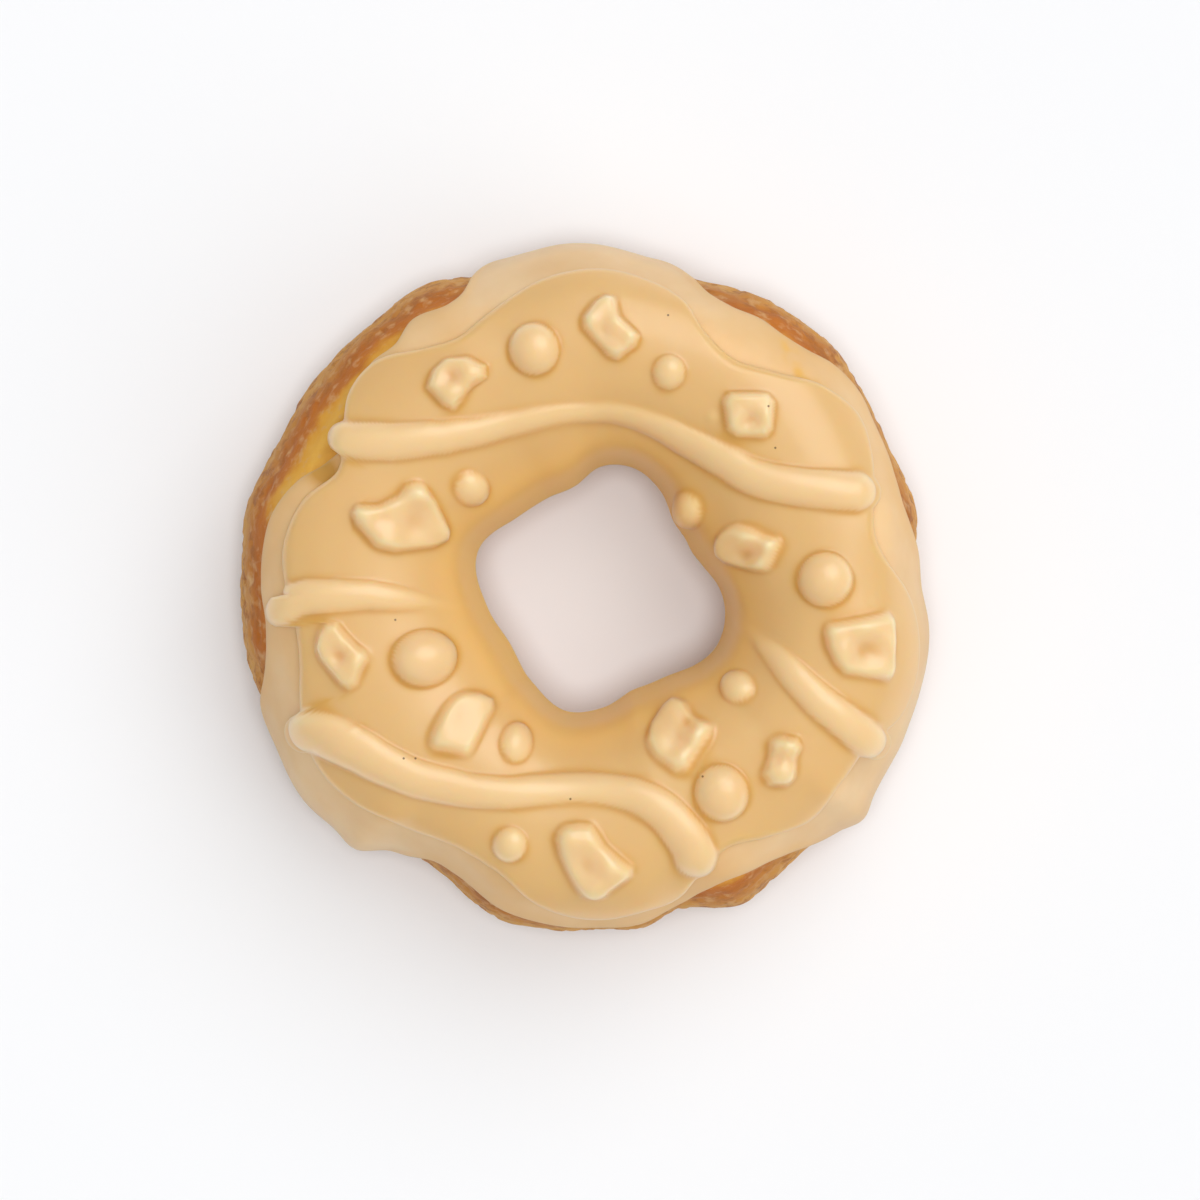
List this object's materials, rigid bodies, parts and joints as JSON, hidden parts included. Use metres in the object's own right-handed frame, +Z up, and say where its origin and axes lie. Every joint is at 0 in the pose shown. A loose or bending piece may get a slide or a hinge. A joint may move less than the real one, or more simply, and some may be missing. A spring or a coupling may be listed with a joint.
{
  "type": "doughnut",
  "caption": "Iced ring doughnut with a rounded square hole, a draped glaze coat, and a topper of icing with thick waves, pearls and chunks.",
  "frame": {"origin": "on the surface that the doughnut rests on, under the middle of its outline seen from above", "axes": "+Z up through the ring, -Y towards the lower edge of the pictured view, +X to its right"},
  "size_m": [0.0894, 0.0899, 0.0342],
  "materials": {
    "crust": "fried dough crust, dry and finely wrinkled, golden brown with a paler band round the side",
    "glaze": "poured sugar glaze, satin, slightly translucent",
    "icing": "set caramel icing, satin, slightly translucent"
  },
  "bodies": {
    "root": {"dough_ring": "crust", "glaze_coat": "glaze", "topper": "icing"}
  },
  "joints": []
}
